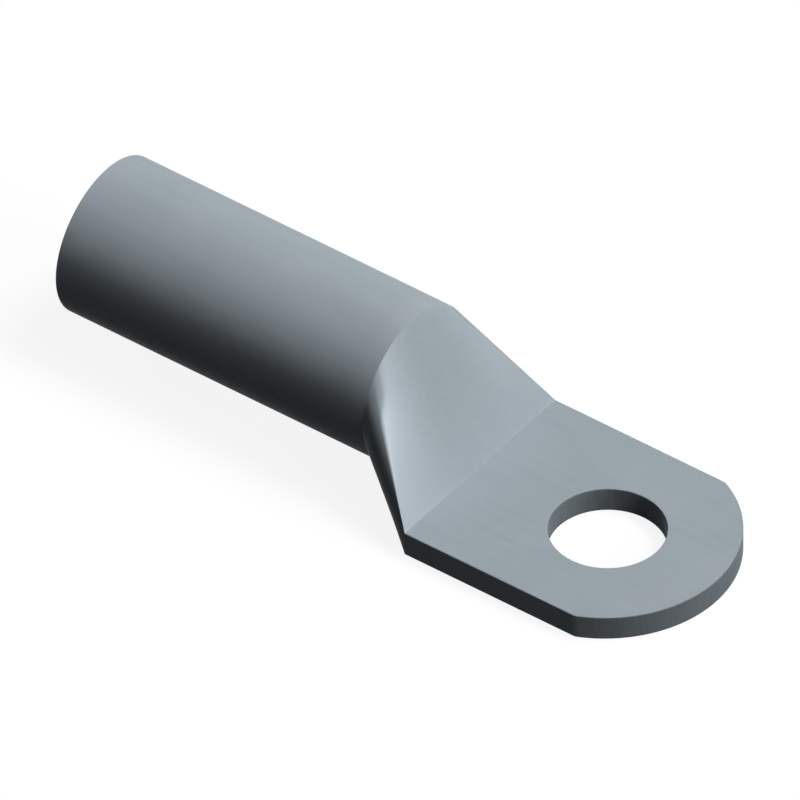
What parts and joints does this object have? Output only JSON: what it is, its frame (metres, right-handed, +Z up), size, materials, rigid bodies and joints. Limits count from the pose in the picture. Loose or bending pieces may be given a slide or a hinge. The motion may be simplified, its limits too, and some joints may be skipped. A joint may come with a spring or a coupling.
{
  "type": "cable lug",
  "caption": "One-piece crimp cable lug: a hollow round barrel pressed flat into a tongue with a rounded end and a stud hole.",
  "frame": {"origin": "centre of the stud hole on the tongue's contact face", "axes": "+X along the lug from the barrel's mouth to the tongue's tip, +Y across the tongue, +Z up, out of the stud hole towards the barrel's side"},
  "size_m": [0.0664, 0.0222, 0.0159],
  "materials": {
    "tinned_copper": "satin tin plating on copper"
  },
  "bodies": {
    "root": {"cable_lug": "tinned_copper"}
  },
  "joints": []
}
